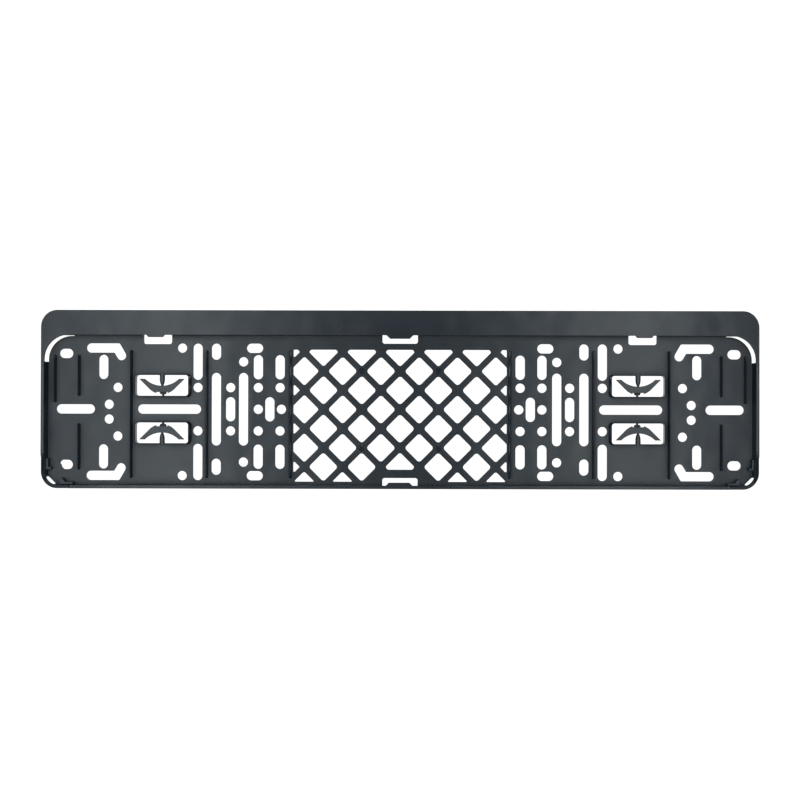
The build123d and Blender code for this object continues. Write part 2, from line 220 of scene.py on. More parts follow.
# Hubs and stems of the springs
HUB_X = SPRING_X - 0.55
HUB_TOP = WING_BELLY + NOTCH[1]
HUB_BEHIND_WING = 1.3
HUB_HALF = 2.4
HUB_CORNER = 0.9
HUB_HEIGHT = 1.8
STEM_WIDTH = 1.4
STEM_SEAT = 1.0
STEM_INSET = 0.05

# Retaining lips: X, wall, direction in from the wall, width at the root and at the tip, and reach
LIP_BACK = FRONT - 1.6
LIP_SEAT = 1.25
LIP_ROUND = 0.3
SIDE_LIP_X = POCKET_HALF - 82.6
LIPS = (
    (-SIDE_LIP_X, POCKET_TOP, -1, 13.6, 10.8, 1.7), (SIDE_LIP_X, POCKET_TOP, -1, 13.6, 10.8, 1.7),
    (0, POCKET_TOP, -1, 19.8, 14.6, 2.6), (-0.45, POCKET_BOTTOM, 1, 19.8, 15.3, 2.2),
)

# Windows behind the lips: X, wall, direction in from the wall, width and depth
LIP_WINDOWS = (
    (-SIDE_LIP_X, POCKET_TOP, -1, 21.0, 6.4), (SIDE_LIP_X, POCKET_TOP, -1, 21.0, 6.4),
    (0, POCKET_TOP, -1, 26.3, 5.8), (0, POCKET_BOTTOM, 1, *FOOT_LIP_WINDOW),
)
LIP_WINDOW_PAST = 0.8
LIP_WINDOW_ROUNDS = (0.1, 0.1, 1.7, 1.7)

# Hooks and drain slots in the bottom corners
HOOK_THICKNESS = 1.7
HOOK_HEIGHT = 4.0
HOOK_ROUND = 0.3
SIDE_HOOK_GAP = 0.7
SIDE_HOOK_RISE = 13.9
SIDE_HOOK_LENGTH = 8.0
SIDE_HOOK_FOOT = 3.9
LOW_HOOK_GAP = 0.3
LOW_HOOK_INSET = 13.5
LOW_HOOK_LENGTH = 9.4
LOW_HOOK_FOOT = 4.5
LOW_HOOK_GUSSET = 2.0
DRAIN_ROOF = 6.2
DRAIN_INNER = 8.6
DRAIN_HALF = 4.15
DRAIN_TURN = 45.0

# Gate marks: steps of outset and height above the base round a small circle
GATE_RADIUS = 1.2
GATE_PROFILE = ((1.2, -SEAT), (1.2, 0), (0.2, 0.9), (-0.1, 0.9), (-0.8, 0.1))

# Shading: the turn in degrees past which an edge stays sharp, and how far large faces lead the normals
SHARP_TURN = 40.0
FLAT_FACE_WEIGHT = 100

# Finish of the plastic, with sizes in millimetres, matched to the photograph
PLASTIC_COLOUR = "#0d1721"
PLASTIC_IOR = 1.49
RIM_ROUGHNESS = 0.258
FLOOR_ROUGHNESS = 0.283
CLOUD_ROUGHNESS = 0.36
CORNER_ROUGHNESS = 0.58
RIM_DEPTH = 9.5
FLOOR_DEPTH = 8.0
CLOUD_SIZE = 35.0
CLOUD_SHARE = 0.35
STREAK_SIZE = np.array((120.0, 20.0, 20.0))
STREAK_SHARE = 0.25
NOISE_RANGE = {"From Min": 0.35, "From Max": 0.65, "To Min": 0.0}
CORNER_REACH = 6.0
CORNER_CLOSED = 0.45
CORNER_OPEN = 0.90
CORNER_SHARE = 0.9
WAVE_SIZE = 15.0
WAVE_HEIGHT = 0.4
GRAIN_SIZE = 1.1
GRAIN_HEIGHT = 0.03
GRAIN_STRENGTH = 0.12

# Studio, in metres. Tall lamps stand in a row just behind the camera: name, X, width and radiance.
TALL_LAMPS = (
    ("left_strip", -0.385, 0.14, 5.0), ("right_strip", 0.345, 0.14, 4.35),
    ("left_inner_fill", -0.17, 0.12, 1.2), ("right_inner_fill", 0.17, 0.12, 1.2),
    ("left_outer_fill", -0.72, 0.35, 1.0), ("right_outer_fill", 0.72, 0.35, 0.6),
    ("left_side", -1.10, 0.30, 6.0), ("right_side", 1.10, 0.30, 5.4),
)
TALL_LAMP_Y = -0.95
TALL_LAMP_HEIGHT = 1.4

# The other lamps: name, place, aim, width and height, and radiance
OTHER_LAMPS = (
    ("backdrop", (0.0, 1.0, 0.4), (0.0, 0.0, 0.4), (1.2, 1.4), 1.0),
    ("floor_wash", (0.0, -0.55, 1.2), (0.0, -0.55, 0.0), (1.0, 0.8), 2.4),
    ("left_end", (-1.7, -0.1, 0.45), (0.0, 0.0, 0.0), (0.5, 0.7), 3.0),
    ("left_back", (-1.1, 1.1, 0.5), (0.0, 0.0, 0.0), (0.5, 0.8), 3.0),
    ("right_end", (1.7, -0.1, 0.45), (0.0, 0.0, 0.0), (0.5, 0.7), 3.0),
    ("right_back", (1.1, 1.1, 0.5), (0.0, 0.0, 0.0), (0.5, 0.8), 3.0),
)

# Tint of every lamp, the plain white that the camera sees, the world and the paper floor
LAMP_TINT = (0.925, 0.99, 1.0)
WHITE = "#ffffff"
SHOWN_WHITE = 1.1
WORLD_STRENGTH = 0.06
PAPER_COLOUR = "#f4f4f4"
PAPER_ROUGHNESS = 0.5
PAPER_LEVEL = -0.30
PAPER_HALF_WIDTH = 20.0

# Camera, fitted to the holder in the photograph: metres, millimetres of lens, and degrees of roll. It looks
# a little left and up for each stretch ahead.
CAMERA_PLACE = (0.0183, -0.850, 0.0056)
CAMERA_LENS = 51.34
CAMERA_SENSOR = 36.0
CAMERA_SHIFT = (-0.02778, -0.00584)
CAMERA_AHEAD = 0.840
CAMERA_LEFT = 0.0018
CAMERA_UP = 0.0050
CAMERA_ROLL = -0.124


def linear(hex_colour):
    """sRGB hex to linear red, green, blue and full alpha."""
    s = np.array([int(hex_colour[i:i + 2], 16) for i in (1, 3, 5)]) / 255
    return (*np.where(s <= 0.04045, s / 12.92, ((s + 0.055) / 1.055) ** 2.4), 1.0)


def node(tree, kind, settings=(), links=()):
    """Adds a node, gives its attributes or inputs their settings, and links its inputs by name or number."""
    made = tree.nodes.new(kind)
    for name, value in dict(settings).items():
        if name in made.inputs:
            made.inputs[name].default_value = value
        else:
            setattr(made, name, value)
    for socket, source in dict(links).items():
        tree.links.new(source, made.inputs[socket])
    return made


# Outlines: anticlockwise rows of X, Z points, seen from the front
FLAT = 1e-6  # square millimetres, under which a triangle is a line
MERGE = 1e-7  # millimetres, under which the triangulation takes two points as one
MOST_OF_EDGE = 0.499  # share of an edge that one corner's arc may take


def arc(centre, radius, start, end, steps):
    """Points on a circle from one angle to another, in degrees."""
    angle = np.radians(np.linspace(start, end, steps + 1))
    return np.array(centre) + radius * np.stack([np.cos(angle), np.sin(angle)], 1)


def circle(x, z, radius, steps=32):
    """Points all round a circle."""
    return arc((x, z), radius, 0, 360, steps)[:-1]


def rounded(corners, radii, steps=6):
    """A polygon with an arc at each corner.

    The arc of radius r touches both edges r / tan(half the corner) from the corner, and its middle lies on
    the corner's bisector. No arc takes more than half of an edge.
    """
    p = np.asarray(corners, float)
    to_last = np.roll(p, 1, 0) - p
    to_next = np.roll(p, -1, 0) - p
    last_length = np.linalg.norm(to_last, axis=1, keepdims=True)
    next_length = np.linalg.norm(to_next, axis=1, keepdims=True)
    e = to_last / last_length
    f = to_next / next_length
    half = np.arccos(np.clip((e * f).sum(1, keepdims=True), -1, 1)) / 2
    wanted = np.broadcast_to(radii, len(p)).reshape(-1, 1) / np.tan(half)
    touch = np.minimum(wanted, MOST_OF_EDGE * np.minimum(last_length, next_length))
    radius = touch * np.tan(half)
    bisector = (e + f) / np.linalg.norm(e + f, axis=1, keepdims=True)
    middle = p + bisector * radius / np.sin(half)
    first = p + e * touch - middle
    final = p + f * touch - middle
    start = np.arctan2(first[:, 1:], first[:, :1])
    turn = np.arctan2(final[:, 1:], final[:, :1]) - start
    turn = (turn + np.pi) % (2 * np.pi) - np.pi
    angle = start + turn * np.linspace(0, 1, steps + 1)
    points = middle[:, None] + radius[:, None] * np.stack([np.cos(angle), np.sin(angle)], 2)
    return points.reshape(-1, 2)


def rectangle(x, z, width, height):
    """The four corners of a level rectangle about a middle."""
    return np.array([(x, z)]) + np.array([(-1, -1), (1, -1), (1, 1), (-1, 1)]) * (width / 2, height / 2)


def slot(x, z, length, upright=False, width=SCREW_WIDTH):
    """Two half circles, as far apart as the overall length allows."""
    end = arc((length / 2 - width / 2, 0), width / 2, -90, 90, 16)
    points = np.concatenate([end, -end])
    if upright:
        points = points[:, ::-1] * (-1, 1)
    return points + (x, z)


def mirrored(outline, x_sign, z_sign):
    """The outline in the other half of the holder, still anticlockwise."""
    points = outline * (x_sign, z_sign)
    return points if x_sign == z_sign else points[::-1]


def symmetrical(half):
    """The outline whose right half is given, from the lowest point up, about X = 0."""
    return np.concatenate([half, (half * (-1, 1))[::-1]])


def divided(outline, spacing):
    """The outline with its long edges divided evenly, so that no step is longer than the spacing."""
    step = np.roll(outline, -1, 0) - outline
    pieces = np.maximum(np.ceil(np.linalg.norm(step, axis=1) / spacing).astype(int), 1)
    first = np.repeat(np.cumsum(pieces) - pieces, pieces)
    share = (np.arange(pieces.sum()) - first) / np.repeat(pieces, pieces)
    return np.repeat(outline, pieces, 0) + share[:, None] * np.repeat(step, pieces, 0)


def outset(outline, distance):
    """The outline moved outwards by a distance, or by one for each point.

    Each point goes along its mitre, the sum of its edges' normals n and m over 1 + n . m.
    """
    edge = np.roll(outline, -1, 0) - outline
    m = np.stack([edge[:, 1], -edge[:, 0]], 1) / np.linalg.norm(edge, axis=1, keepdims=True)
    n = np.roll(m, 1, 0)
    return outline + np.reshape(distance, (-1, 1)) * (n + m) / (1 + (n * m).sum(1, keepdims=True))


def triangulated(loops):
    """Triangles that fill the first loop around the others, which run clockwise.

    A constrained triangulation also covers what lies outside. A triangle out there has its three corners on
    one loop, and in that loop's order they turn clockwise, or lie in line.
    """
    points = np.concatenate(loops)
    sizes = [len(loop) for loop in loops]
    loop_of = np.repeat(np.arange(len(loops)), sizes)
    start = np.repeat(np.cumsum(sizes) - sizes, sizes)
    here = np.arange(len(points))
    after = start + (here - start + 1) % np.repeat(sizes, sizes)
    edges = np.stack([here, after], 1).tolist()
    triangles = np.array(delaunay_2d_cdt(points.tolist(), edges, [], 0, MERGE)[2])
    ordered = np.sort(triangles, 1)
    a, b, c = (points[ordered[:, i]] for i in range(3))
    turn = (b - a)[:, 0] * (c - a)[:, 1] - (b - a)[:, 1] * (c - a)[:, 0]
    one_loop = (loop_of[ordered] == loop_of[ordered[:, :1]]).all(1)
    return triangles[~(one_loop & (turn < FLAT))]


class Shell:
    """A closed surface put together from rings of points and the faces between them.

    The faces are kept in blocks, each an array with a row of point numbers for each face.
    """

    def __init__(self):
        self.points = np.empty((0, 3))
        self.faces = []

    def ring(self, outline, depth):
        """Adds an outline at a depth, or at a depth for each point. Returns its point numbers."""
        first = len(self.points)
        depth = np.broadcast_to(depth, len(outline))
        self.points = np.concatenate([self.points, np.stack([outline[:, 0], -depth, outline[:, 1]], 1)])
        return np.arange(first, len(self.points))

    def bridge(self, ring, other):
        """Four-sided faces between two rings of as many points."""
        self.faces.append(np.stack([ring, np.roll(ring, -1), np.roll(other, -1), other], 1))

    def sweep(self, outline, profile):
        """Carries a profile of (outset, depth) steps round an outline. Returns its first and last ring."""
        rings = [self.ring(outset(outline, out), depth) for out, depth in profile]
        for ring, other in zip(rings, rings[1:]):
            self.bridge(ring, other)
        return rings[0], rings[-1]

    def fill(self, outer, holes=(), front=True):
        """Triangles between a ring and the rings inside it, facing the front or the back."""
        rings = [outer, *(hole[::-1] for hole in holes)]
        numbers = np.concatenate(rings)
        triangles = numbers[triangulated([self.points[ring][:, ::2] for ring in rings])]
        a, b, c = (self.points[triangles[:, i]] for i in range(3))
        facing = np.cross(b - a, c - a)[:, 1] < 0
        triangles[facing != front] = triangles[facing != front][:, ::-1]
        self.faces.append(triangles)

    def closed_sweep(self, outline, profile):
        """Carries a profile round an outline, then fills its first ring, facing back, and its last."""
        first, last = self.sweep(outline, profile)
        self.fill(first, front=False)
        self.fill(last)

    def mirrored(self, x_sign, z_sign):
        """A copy in the other half of the holder."""
        other = Shell()
        other.points = self.points * (x_sign, 1, z_sign)
        other.faces = self.faces if x_sign == z_sign else [block[:, ::-1] for block in self.faces]
        return other


def plate(outline, back, front, edge=PART_ROUND):
    """A flat piece with rounded edges: a quarter circle at the back, the side, and another at the front."""
    shell = Shell()
    turn = np.radians((0, 45, 90))
    shell.closed_sweep(outline, [
        *zip(-edge * (1 - np.sin(turn)), back + edge * (1 - np.cos(turn))),
        *zip(-edge * (1 - np.cos(turn)), front - edge * (1 - np.sin(turn))),
    ])
    return shell


def in_all_corners(shell):
    """The piece and its mirror images left, below, and both."""
    return [shell.mirrored(x, z) for x in (1, -1) for z in (1, -1)]


def on_both_sides(shell):
    """The piece and its mirror image at the other end of the holder."""
    return [shell, shell.mirrored(-1, 1)]


# Holes of the base


def bent_slot():
    """A level stretch from the outer end to a bend, then an arm that leans 60 degrees towards the middle."""
    half = SCREW_HALF
    bend = np.array([POCKET_HALF - BEND_COLUMN, LOW_ROW + EDGE_REACH])
    lean = np.radians(BENT_ARM_LEAN)
    along = np.array([-np.cos(lean), -np.sin(lean)])
    across = np.array([-along[1], along[0]])
    arm_end = bend + along * (BENT_ARM + half)
    fold = half * np.tan(lean / 2)
    outer_x = POCKET_HALF - BENT_END_COLUMN + half
    corners = [
        (bend[0] + fold, bend[1] - half), (outer_x, bend[1] - half), (outer_x, bend[1] + half),
        (bend[0] - fold, bend[1] + half), arm_end - across * half, arm_end + across * half,
    ]
    return rounded(corners, (BEND_INSIDE, half, half, BEND_OUTSIDE, half, half), 10)


def flawed_slot(x, z):
    """The one slot with an uneven end, as a polygon with rounded corners."""
    corners = np.array(FLAWED_SLOT)
    return rounded(corners[:, :2], corners[:, 2], 6) + (x, z)


def places(side, column, row, reach):
    """Places in a column at one side of the holder, a reach below and above a row."""
    x = side * (POCKET_HALF - column)
    return [(x, z) for z in sorted({row - reach, row + reach})]


def screw_openings():
    """Outlines of every screw hole and slot in the base."""
    outlines = []
    for side in (-1, 1):
        outlines += [circle(*place, SCREW_HALF) for hole in ROUND_HOLES for place in places(side, *hole)]
        for slots, upright in ((UPRIGHT_SLOTS, True), (LEVEL_SLOTS, False)):
            for *column, length in slots:
                outlines += [slot(*place, length, upright) for place in places(side, *column)]
        upper = bent_slot()
        lower = mirrored(upper - (0, LOW_ROW), 1, -1) + (0, LOW_ROW)
        outlines += [mirrored(upper, side, 1), mirrored(lower, side, 1)]
    x, z = CORNER_SLOT_X, CORNER_SLOT_Z
    outlines += [slot(*corner, CORNER_SLOT_LENGTH) for corner in ((-x, z), (x, z), (x, -z))]
    return outlines + [flawed_slot(-x, -z)]


def clipped(polygon, axis, limit, keep):
    """The part of a convex polygon where keep times a coordinate is below keep times a limit.

    Where an edge crosses the limit, a point is put at the share of it that lies inside.
    """
    inside = keep * (limit - polygon[:, axis])
    following = np.roll(polygon, -1, 0)
    inside_following = np.roll(inside, -1)
    crossing = inside * inside_following < 0
    share = np.where(crossing, inside / np.where(crossing, inside - inside_following, 1), 0)
    cut = polygon + share[:, None] * (following - polygon)
    both = np.stack([polygon, cut], 1).reshape(-1, 2)
    wanted = np.stack([inside >= 0, crossing], 1).reshape(-1)
    return both[wanted]


def rounded_diamond(shape, whole):
    """A diamond with its corners rounded: most where it is whole, less where it is cut or narrow.

    Corners on the lattice's lower edge have a small round of their own.
    """
    cut_round = CUT_DIAMOND_ROUND if np.ptp(shape[:, 0]) > NARROW_DIAMOND else NARROW_DIAMOND_ROUND
    at_foot = np.isclose(shape[:, 1], LATTICE_BOTTOM)
    return rounded(shape, np.where(at_foot, DIAMOND_FOOT_ROUND, DIAMOND_ROUND if whole else cut_round), 6)


def lattice_diamonds():
    """Outlines of the diamonds: squares on their corners, on two grids half a pitch apart.

    What passes the lattice's edges is cut off square. Over the lip's window at the foot the lower edge is
    higher, and near the window a diamond whose middle lies below the lattice is left out.
    """
    half = LATTICE_PITCH / 2
    tip = DIAMOND_SIDE / np.sqrt(2)
    square = np.array([(tip, 0), (0, tip), (-tip, 0), (0, -tip)])
    land_top = POCKET_BOTTOM + FOOT_LIP_WINDOW[1] + FOOT_LIP_LAND
    outlines = []
    for column in LATTICE_COLUMNS:
        for row in LATTICE_ROWS:
            x, z = column * half, row * half
            from_lip = abs(x) - FOOT_LIP_WINDOW[0] / 2
            if (column + row) % 2 == 0 or (from_lip < half and z < LATTICE_BOTTOM):
                continue
            diamond = square + (x, z)
            bottom = land_top if from_lip < 0 and z - tip < land_top else LATTICE_BOTTOM
            limits = ((0, LATTICE_HALF, 1), (0, -LATTICE_HALF, -1), (1, LATTICE_TOP, 1), (1, bottom, -1))
            shape = diamond
            for limit in limits:
                shape = clipped(shape, *limit)
            if len(shape) > 2:
                whole = len(shape) == 4 and np.allclose(shape, diamond)
                outlines.append(rounded_diamond(shape, whole))
    return outlines


# Body


def hole_profile():
    """Rounded front edge, straight wall and rounded back edge of a hole through the base."""
    edge = HOLE_ROUND
    turn = np.radians((90, 45, 0))
    return [
        *zip(edge * (1 - np.cos(turn)), BASE - edge * (1 - np.sin(turn))),
        *zip(edge * (1 - np.cos(turn[::-1])), edge * (1 - np.sin(turn[::-1]))),
    ]


def collar_profile(outline):
    """Sloping outside, narrow rounded crest and straight inside of a collar, then the window's back edge.

    The outside slopes most on the side towards the middle of the holder.
    """
    crest = BASE + RIB_HEIGHT
    inner_edge = WINDOW_X - WINDOW[0] / 2 + WINDOW_ROUND
    inner_side = np.clip((inner_edge - np.abs(outline[:, 0])) / WINDOW_ROUND, 0, 1)
    root = COLLAR_ROOT + (COLLAR_INNER_ROOT - COLLAR_ROOT) * inner_side
    fillet_out, fillet_up = COLLAR_FILLET
    shoulder_out, shoulder_down = COLLAR_SHOULDER
    return [
        (root + fillet_out, BASE), (root, BASE + fillet_up),
        (RIB_CREST + shoulder_out, crest - shoulder_down),
        *((RIB_CREST * share, crest - drop) for share, drop in COLLAR_CREST),
        (0, crest - shoulder_down), (0, HOLE_ROUND),
        (ROUND_MIDDLE * HOLE_ROUND, ROUND_MIDDLE * HOLE_ROUND), (HOLE_ROUND, 0),
    ]


def rim_drop(outline):
    """How far the rim is lowered, from 0 along the straight sides to 1 round the two bottom corners.

    Each end of the low stretch is a straight slope, one rim step long.
    """
    along_foot = (np.abs(outline[:, 0]) - (OUTER_HALF - CORNER_DROP_FOOT)) / RIM_STEP
    up_side = (OUTER_BOTTOM + CORNER_DROP_SIDE - outline[:, 1]) / RIM_STEP
    return np.clip(np.minimum(along_foot, up_side), 0, 1)


def rim_lean(outline):
    """How far the rim leans inwards, from 0 at the bar and the webs to 1 along the sides and the foot."""
    return np.clip((WEB_FOOT - outline[:, 1]) / RIM_STEP, 0, 1)


def end_share(outline):
    """1 along the ends of the pocket, 0 along the bar and the foot, and between them round the corners.

    There it is the square of how far along X a point has gone into the corner, over the corner's radius.
    """
    return np.clip((np.abs(outline[:, 0]) - POCKET_HALF + POCKET_RADIUS) / POCKET_RADIUS, 0, 1) ** 2


def outer_wall(shell):
    """The holder's outside, from the back edge to the rounded rim. Returns its first and last ring."""
    middle = (OUTER_TOP + OUTER_BOTTOM) / 2
    corners = rectangle(0, middle, 2 * OUTER_HALF, OUTER_TOP - OUTER_BOTTOM)
    outline = divided(rounded(corners, OUTER_RADIUS, 14), RIM_STEP)
    turn = np.radians((0, 30, 60, 90))
    front = FRONT - CORNER_DROP * rim_drop(outline)
    steep = end_share(outline)
    across = OUTER_ROUND + END_ACROSS * steep
    down = OUTER_ROUND + END_DOWN * steep
    return shell.sweep(outline, [
        (-HOLE_ROUND, 0), (-ROUND_MIDDLE * HOLE_ROUND, ROUND_MIDDLE * HOLE_ROUND), (0, HOLE_ROUND),
        *((-across * (1 - np.cos(a)), front - down * (1 - np.sin(a))) for a in turn),
    ])


def pocket_wall(shell):
    """The pocket's inside, from the rim down to the floor. Returns its first and last ring."""
    middle = (POCKET_TOP + POCKET_BOTTOM) / 2
    corners = rectangle(0, middle, 2 * POCKET_HALF, POCKET_TOP - POCKET_BOTTOM)
    outline = divided(rounded(corners, POCKET_RADIUS, 12), RIM_STEP)
    turn = np.radians((90, 60, 30, 0))
    at_end = end_share(outline)
    corner_lean = CORNER_LEAN_FOOT + (CORNER_LEAN_SIDE - CORNER_LEAN_FOOT) * at_end ** 3
    lowered = CORNER_DROP + corner_lean - RIM_LEAN
    front = FRONT - RIM_LEAN * rim_lean(outline) - lowered * rim_drop(outline)
    edge = END_EDGE * at_end
    draft = END_DRAFT * at_end
    return shell.sweep(outline, [
        *((POCKET_ROUND * (1 - np.cos(a)) - edge, front - POCKET_ROUND * (1 - np.sin(a))) for a in turn),
        *((-draft - inwards, BASE + up) for inwards, up in FLOOR_FILLET),
    ])


def bar_hollow(shell):
    """The hollow behind the bar, from its roof to its mouth in the back. Returns its first and last ring."""
    low, high = POCKET_TOP + BAR_WALL, OUTER_TOP - BAR_WALL
    corners = [(-POCKET_HALF, low), (POCKET_HALF, low), (POCKET_HALF, high), (-POCKET_HALF, high)]
    outline = rounded(corners, (HOLLOW_RADIUS, HOLLOW_RADIUS, POCKET_RADIUS, POCKET_RADIUS), 8)
    roof = FRONT - BAR_SKIN
    return shell.sweep(outline, [
        *((-inwards, roof - down) for inwards, down in ROOF_FILLET), (0, HOLE_ROUND), (HOLE_ROUND, 0),
    ])


def tray():
    """The body: outer wall, front of the rim and bar, pocket, base with its holes, and the bar's hollow."""
    shell = Shell()
    back_edge, rim_edge = outer_wall(shell)
    pocket_edge, floor_edge = pocket_wall(shell)
    shell.fill(rim_edge, [pocket_edge])
    hole_edges = [shell.sweep(outline, hole_profile()) for outline in screw_openings() + lattice_diamonds()]
    window = rounded(rectangle(WINDOW_X, SPRING_ROW, *WINDOW), WINDOW_ROUND, 6)
    windows = [mirrored(window, x, z) for x in (-1, 1) for z in (-1, 1)]
    hole_edges += [shell.sweep(outline, collar_profile(outline)) for outline in windows]
    shell.fill(floor_edge, [front for front, back in hole_edges])
    roof_edge, mouth = bar_hollow(shell)
    shell.fill(roof_edge, front=False)
    shell.fill(back_edge, [mouth, *(back for front, back in hole_edges)], front=False)
    return shell


# Pieces that stand on the body, and cutters


def ridge(column, low, high):
    """A rib: a thin strip with round ends, carried up with sloping sides to a narrow crest."""
    shell = Shell()
    crest = BASE + RIB_HEIGHT
    lean = (RIB_ROOT - RIB_CREST) / 2
    shoulder_in, shoulder_down = RIB_SHOULDER
    outline = slot(POCKET_HALF - column, (low + high) / 2, high - low, upright=True, width=RIB_ROOT)
    shell.closed_sweep(outline, [
        (0, BASE - SEAT), (0, BASE), (-lean, crest - shoulder_down), (-lean - shoulder_in, crest),
    ])
    return shell


def ribs():
    """Three long ribs, two short end ribs and a rim rib at each end of the holder."""
    return [copy for row in RIBS for copy in on_both_sides(ridge(*row))]


def bar_ribs():
    """Eleven cross ribs in the hollow back of the bar, evenly spaced, with their back edges set in."""
    low, high = POCKET_TOP + BAR_WALL - SEAT, OUTER_TOP - BAR_WALL + SEAT
    return [
        plate(
            rectangle(BAR_RIB_SPACING * i, (low + high) / 2, BAR_RIB_THICKNESS, high - low),
            BAR_RIB_RECESS, FRONT - BAR_SKIN + SEAT,
        )
        for i in BAR_RIBS
    ]


def wing_outline():
    """A gull wing: a hollow arc above, two legs at 45 degrees, and an arc below with a notch in it.

    The hollow's radius is (half its width squared + its rise squared) / twice its rise. The lower arc meets
    both legs without a corner: its radius is (X of the tip - depth from tip to belly) / (root of 2 - 1).
    """
    rise = WING_TIP_Z - WING_HOLLOW
    hollow_radius = (WING_TIP_INNER ** 2 + rise ** 2) / (2 * rise)
    reach = np.degrees(np.arcsin(WING_TIP_INNER / hollow_radius))
    hollow = arc((0, WING_HOLLOW + hollow_radius), hollow_radius, -90 + reach, -90 - reach, 28)
    belly_radius = (WING_BELLY - WING_TIP_Z + WING_TIP_OUTER) / (np.sqrt(2) - 1)
    belly_middle = (0, WING_BELLY + belly_radius)
    notch_turn = np.degrees(np.arcsin(NOTCH[0] / 2 / belly_radius))
    left = arc(belly_middle, belly_radius, -135, -90 - notch_turn, 10)
    notch = np.array([(-NOTCH[0] / 2, HUB_TOP), (NOTCH[0] / 2, HUB_TOP)])
    tips = np.array([(WING_TIP_OUTER, WING_TIP_Z)])
    return np.concatenate([tips, hollow, tips * (-1, 1), left, notch, (left * (-1, 1))[::-1]])


def wing():
    """The wing's leaf, bowed so that its tips stand further forward, by the square of X."""
    outline = divided(wing_outline(), WING_STEP) + (WING_X, SPRING_ROW)
    shell = plate(outline, WING_BACK, WING_BACK + WING_THICKNESS)
    shell.points[:, 1] -= WING_BOW * ((shell.points[:, 0] - WING_X) / WING_TIP_OUTER) ** 2
    return shell


def fin():
    """The tongue from the window's edge to the hub: eight points across, carried down the window.

    Its width keeps even, then closes in a quarter ellipse towards the wing. Both edges are bevelled, and
    under the wing its top rises into the leaf.
    """
    shell = Shell()
    z = np.linspace(WINDOW_TOP + FIN_ROOT, SPRING_ROW + HUB_TOP + SEAT, FIN_RINGS)[:, None]
    ahead = z - SPRING_ROW - WING_HOLLOW
    nose = 1 - np.clip(ahead / FIN_NOSE, 0, 1)
    half = np.maximum(FIN_HALF * np.sqrt(1 - nose ** 2), FIN_NARROW)
    crest = np.maximum(half - FIN_BEVEL, FIN_CREST_LEAST)
    top = FIN_TOP + (WING_BACK + FIN_INTO_WING - FIN_TOP) * np.clip(-ahead, 0, 1)
    flat = np.ones_like(z)
    across = np.concatenate([FIN_BACK_SHARE * half, half, crest, FIN_CREST_SHARE * crest], 1)
    depth = np.concatenate([FIN_BACK * flat, FIN_EDGE * flat, top - FIN_CREST_DROP, top], 1)
    across = np.concatenate([across, -across[:, ::-1]], 1) + SPRING_X
    depth = np.concatenate([depth, depth[:, ::-1]], 1)
    shell.points = np.stack([across, -depth, np.broadcast_to(z, across.shape)], 2).reshape(-1, 3)
    numbers = np.arange(len(shell.points)).reshape(across.shape)
    for ring, other in zip(numbers, numbers[1:]):
        shell.bridge(other, ring)
    shell.faces += [numbers[:1], numbers[-1:, ::-1]]
    return shell


def collar_gap():
    """Cutter for the gap in the collar that the fin passes through."""
    outline = rectangle(
        SPRING_X, WINDOW_TOP + FIN_GAP_MIDDLE, 2 * FIN_HALF + FIN_GAP_PLAY, FIN_GAP_LENGTH,
    )
    return plate(outline, BASE + FIN_GAP_FLOOR, BASE + RIB_HEIGHT + SEAT)


def hub():
    """The block at the fin's end that carries the wing, with its corners cut off beside the stem."""
    high, low = HUB_TOP + HUB_BEHIND_WING, HUB_TOP - HUB_HEIGHT
    half = np.array([(HUB_HALF - HUB_CORNER, low), (HUB_HALF, low + HUB_CORNER), (HUB_HALF, high)])
    return plate(symmetrical(half) + (HUB_X, SPRING_ROW), 0, BASE)


def stem():
    """The thin link from the hub to the near edge of the window."""
    low, high = -WINDOW[1] / 2 - STEM_SEAT, HUB_TOP - SEAT
    outline = rectangle(HUB_X, SPRING_ROW + (low + high) / 2, STEM_WIDTH, high - low)
    return plate(outline, STEM_INSET, BASE - STEM_INSET)


def lip(x, wall, direction, root, tip, reach):
    """A retaining lip: a trapezoid that narrows from the wall to its tip."""
    half = np.array([(root / 2, -LIP_SEAT), (root / 2, 0), (tip / 2, reach)])
    outline = mirrored(rounded(symmetrical(half), LIP_ROUND, 3), 1, direction) + (x, wall)
    return plate(outline, LIP_BACK, FRONT)


def lip_window(x, wall, direction, width, depth):
    """Cutter for the window behind a lip, rounded at its inner corners. It starts inside the wall."""
    depth = depth + LIP_WINDOW_PAST
    corners = rounded(rectangle(0, depth / 2, width, depth), LIP_WINDOW_ROUNDS, 6)
    outline = mirrored(corners, 1, direction) + (x, wall - direction * LIP_WINDOW_PAST)
    return plate(outline, CUTTER_BACK, LIP_BACK, CUTTER_ROUND)


def web():
    """The web across an upper corner: the space between the pocket's square corner and an arc, with a strip
    that runs on down the side wall."""
    corner = np.array([
        (POCKET_HALF - WEB_STRIP, WEB_FOOT), (POCKET_HALF + WEB_SEAT, WEB_FOOT),
        (POCKET_HALF + WEB_SEAT, POCKET_TOP + WEB_SEAT), (WEB_X, POCKET_TOP + WEB_SEAT),
    ])
    return plate(np.concatenate([corner, arc((WEB_X, WEB_Z), WEB_RADIUS, 90, 0, 20)]), LIP_BACK, FRONT)


